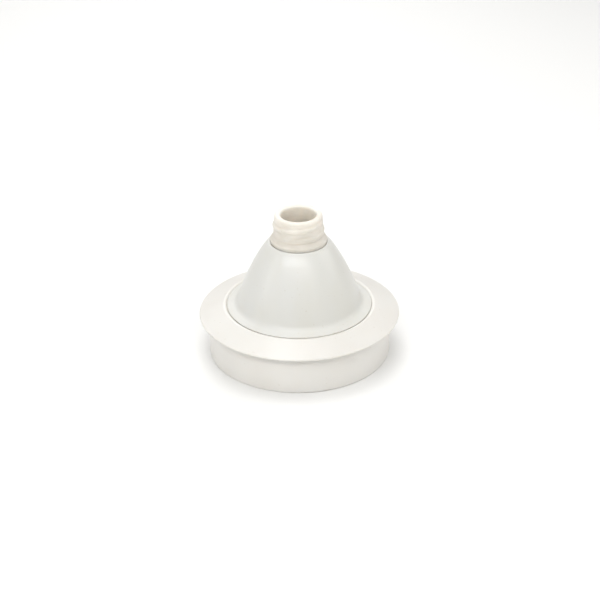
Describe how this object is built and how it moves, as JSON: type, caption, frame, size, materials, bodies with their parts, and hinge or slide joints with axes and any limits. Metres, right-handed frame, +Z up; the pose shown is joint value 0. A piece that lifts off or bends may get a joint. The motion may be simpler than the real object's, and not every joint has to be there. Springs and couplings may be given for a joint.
{
  "type": "deck fill cap",
  "caption": "Bell-shaped plastic deck fill cap: a threaded open hose neck with a check valve, on a bell that twist-locks into a plug-in deck ring.",
  "frame": {"origin": "on the cap's axis, in the plane of the deck that the gasket under the flange rests on", "axes": "+Z up, along the cap's axis and out of the hose neck; -Z points down into the deck opening; +X passes through one bayonet lug"},
  "size_m": [0.107, 0.107, 0.0798],
  "materials": {
    "white_plastic": "glossy white moulded plastic, slightly warm",
    "ring_plastic": "white moulded plastic, a little less glossy",
    "natural_nylon": "uncoloured, slightly translucent cream nylon",
    "black_rubber": "matte black elastomer",
    "grey_foam": "soft pale grey closed-cell gasket",
    "stainless": "bright drawn stainless steel",
    "pale_rubber": "soft cream elastomer, a little darker than the neck"
  },
  "bodies": {
    "ring": {"deck_ring": "ring_plastic", "deck_gasket": "grey_foam", "dome_o_ring": "black_rubber"},
    "bell": {"bell_dome": "white_plastic", "hose_neck": "natural_nylon", "neck_gasket": "pale_rubber", "neck_washer": "stainless", "neck_locknut": "natural_nylon", "valve_guide": "natural_nylon", "valve_spring": "stainless", "guide_circlip": "stainless"},
    "poppet": {"valve_poppet": "natural_nylon", "poppet_seal": "black_rubber"}
  },
  "joints": [
    {"name": "bell_twist", "type": "hinge", "parent": "ring", "child": "bell", "pos_m": [0, 0, 0], "axis": [0, 0, 1], "range_deg": [0, 50]},
    {"name": "poppet_travel", "type": "slide", "parent": "bell", "child": "poppet", "axis": [0, 0, -1], "range_m": [0, 0.004], "stiffness_N_per_m": 100, "springref_m": -0.005, "deforming": ["valve_spring"]}
  ]
}
